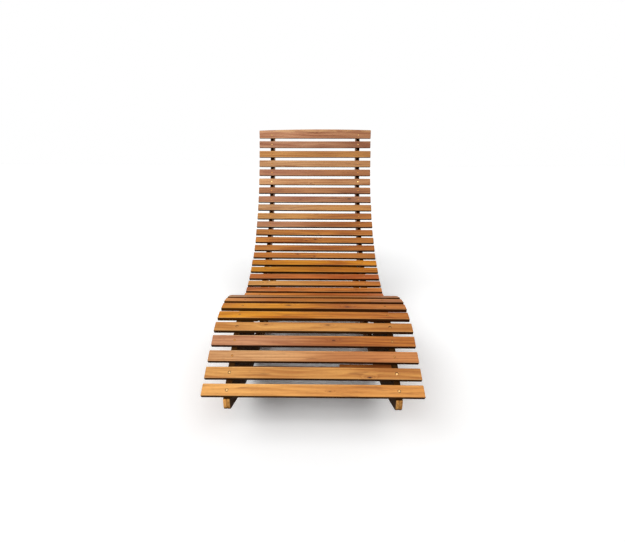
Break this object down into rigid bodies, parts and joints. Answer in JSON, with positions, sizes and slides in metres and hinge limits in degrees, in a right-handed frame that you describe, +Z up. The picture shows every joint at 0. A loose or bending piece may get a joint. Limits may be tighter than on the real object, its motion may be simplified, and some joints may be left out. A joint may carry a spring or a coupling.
{
  "type": "rocking chaise lounge",
  "caption": "Slatted wooden lounger with a raised knee, a hollow seat and a steep curved back, standing on two long rockers.",
  "frame": {"origin": "on the floor under the middle of the lounger's plan outline", "axes": "+X across the seat, +Y from the foot end to the head end, +Z up"},
  "size_m": [0.6, 1.3908, 0.8941],
  "materials": {
    "slats": "oiled acacia slats, tones vary from honey to red brown",
    "frame": "oiled acacia boards, darker than the slats",
    "fasteners": "yellow zinc plated steel"
  },
  "bodies": {
    "root": {"slat_01": "slats", "slat_02": "slats", "slat_03": "slats", "slat_04": "slats", "slat_05": "slats", "slat_06": "slats", "slat_07": "slats", "slat_08": "slats", "slat_09": "slats", "slat_10": "slats", "slat_11": "slats", "slat_12": "slats", "slat_13": "slats", "slat_14": "slats", "slat_15": "slats", "slat_16": "slats", "slat_17": "slats", "slat_18": "slats", "slat_19": "slats", "slat_20": "slats", "slat_21": "slats", "slat_22": "slats", "slat_23": "slats", "slat_24": "slats", "slat_25": "slats", "slat_26": "slats", "slat_27": "slats", "slat_28": "slats", "slat_29": "slats", "slat_30": "slats", "slat_31": "slats", "slat_32": "slats", "slat_33": "slats", "slat_34": "slats", "head_slat": "slats", "left_seat_rail": "frame", "left_back_rail": "frame", "left_rocker": "frame", "left_post": "frame", "left_brace": "frame", "right_seat_rail": "frame", "right_back_rail": "frame", "right_rocker": "frame", "right_post": "frame", "right_brace": "frame", "front_stretcher": "frame", "post_stretcher": "frame", "brace_stretcher": "frame", "left_nose_bolt_1": "fasteners", "left_nose_bolt_2": "fasteners", "left_rail_bolt_1": "fasteners", "left_rail_bolt_2": "fasteners", "left_post_bolt": "fasteners", "left_brace_bolt": "fasteners", "right_nose_bolt_1": "fasteners", "right_nose_bolt_2": "fasteners", "right_rail_bolt_1": "fasteners", "right_rail_bolt_2": "fasteners", "right_post_bolt": "fasteners", "right_brace_bolt": "fasteners"}
  },
  "joints": []
}
